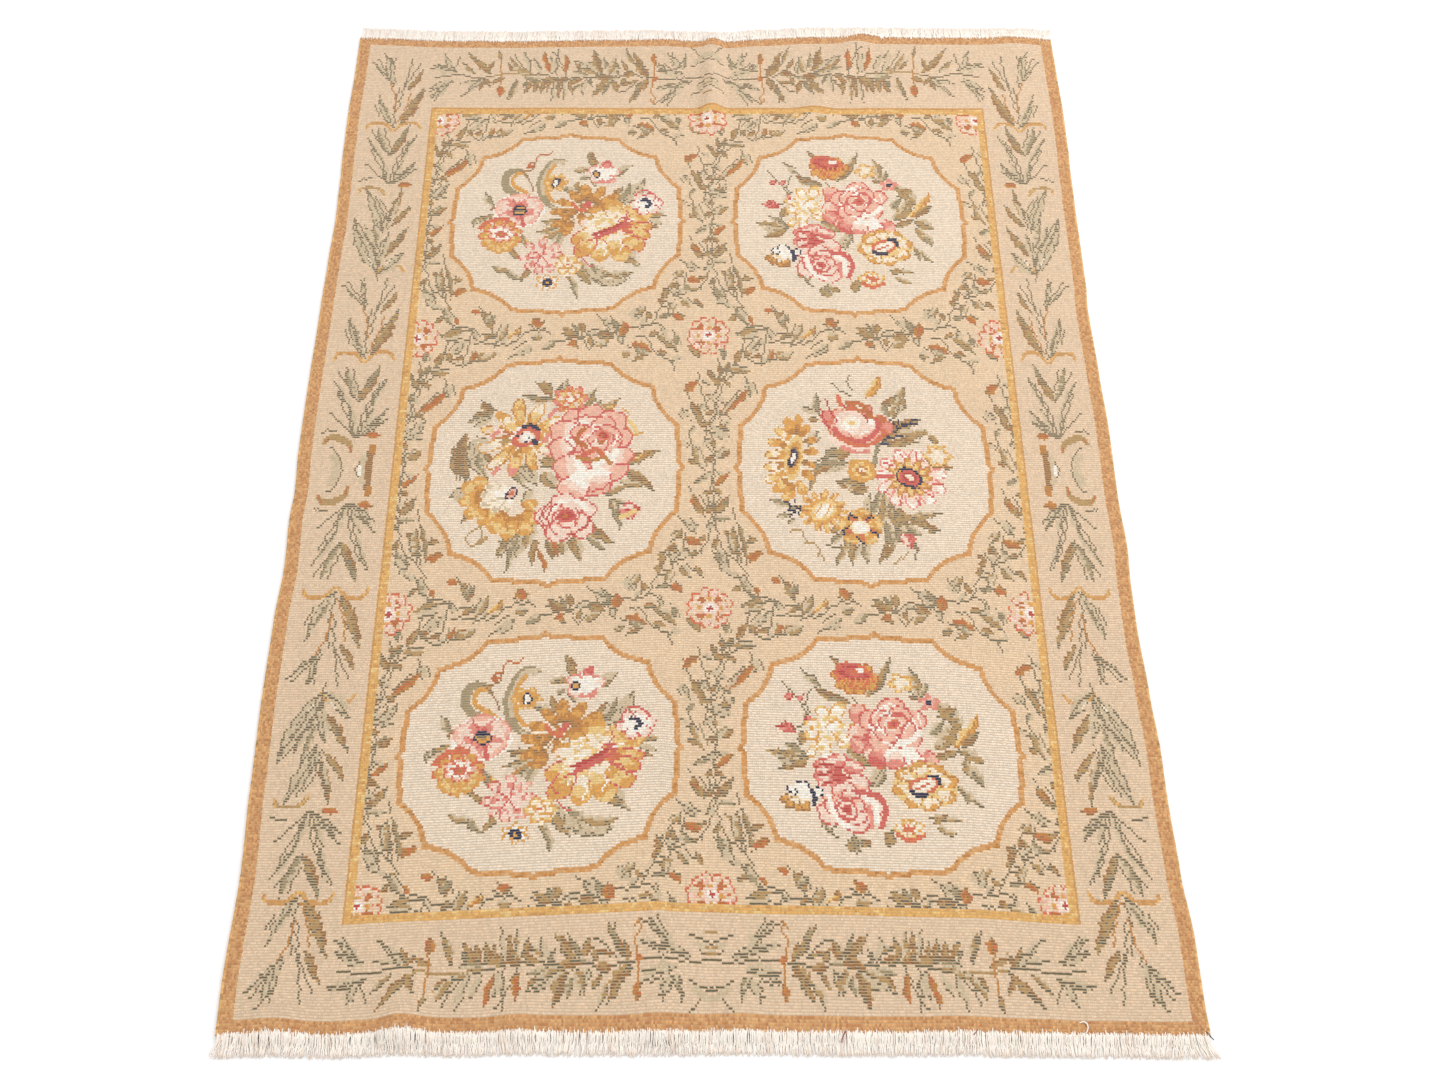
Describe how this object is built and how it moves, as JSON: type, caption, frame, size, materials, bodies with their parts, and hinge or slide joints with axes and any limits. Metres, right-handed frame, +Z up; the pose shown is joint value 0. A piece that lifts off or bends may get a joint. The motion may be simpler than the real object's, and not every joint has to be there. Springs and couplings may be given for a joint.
{
  "type": "floor rug with fringe",
  "caption": "Rectangular floral medallion floor rug, lying flat with soft ridges at its ends and a cotton fringe along both short ends.",
  "frame": {"origin": "on the floor, under the middle of the rug", "axes": "+X along the rug's width, +Y along its length with the front end at -Y, +Z up"},
  "size_m": [1.2336, 1.8952, 0.018],
  "materials": {
    "wool_face": "matte wool yarn",
    "cotton_fringe": "matte cotton yarn"
  },
  "bodies": {
    "root": {"rug_cloth": "wool_face", "fringe_front": "cotton_fringe", "fringe_back": "cotton_fringe"}
  },
  "joints": []
}
